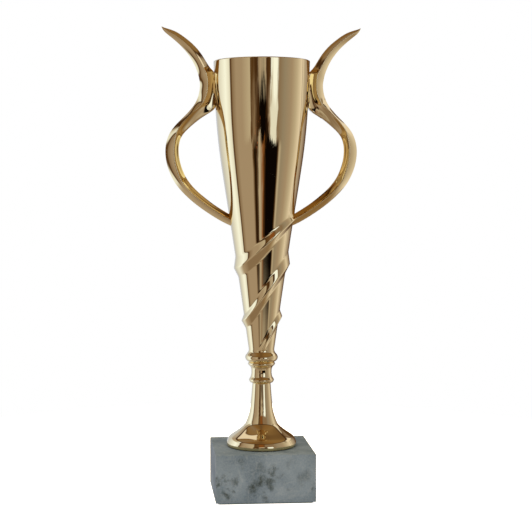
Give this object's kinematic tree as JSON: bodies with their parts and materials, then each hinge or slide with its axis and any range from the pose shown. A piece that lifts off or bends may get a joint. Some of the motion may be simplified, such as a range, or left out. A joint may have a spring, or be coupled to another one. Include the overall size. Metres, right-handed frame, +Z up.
{
  "type": "cup trophy",
  "caption": "Tall gold cup trophy with S-shaped pointed handles, spiral ridges down the cup, a turned stem and flared foot on a square grey-white marble block.",
  "frame": {"origin": "middle of the underside, on the felt", "axes": "+Z up along the threaded rod, +X to the right-hand handle, -Y is the front"},
  "size_m": [0.1218, 0.06, 0.286],
  "materials": {
    "metallised_gold": "mirror, vacuum-metallised gold on ABS",
    "marble": "polished grey-white marble with dark green-grey clouds",
    "zinc_steel": "zinc plated",
    "felt": "dark green felt, self-adhesive"
  },
  "bodies": {
    "root": {"foot": "metallised_gold", "collar": "metallised_gold", "cup": "metallised_gold", "left_handle": "metallised_gold", "right_handle": "metallised_gold", "marble_base": "marble", "felt_pad": "felt", "tie_rod": "zinc_steel", "base_washer": "zinc_steel", "base_spring_washer": "zinc_steel", "base_nut": "zinc_steel", "cup_washer": "zinc_steel", "cup_nut": "zinc_steel", "left_handle_upper_washer": "zinc_steel", "left_handle_upper_screw": "zinc_steel", "left_handle_lower_washer": "zinc_steel", "left_handle_lower_screw": "zinc_steel", "right_handle_upper_washer": "zinc_steel", "right_handle_upper_screw": "zinc_steel", "right_handle_lower_washer": "zinc_steel", "right_handle_lower_screw": "zinc_steel"}
  },
  "joints": []
}
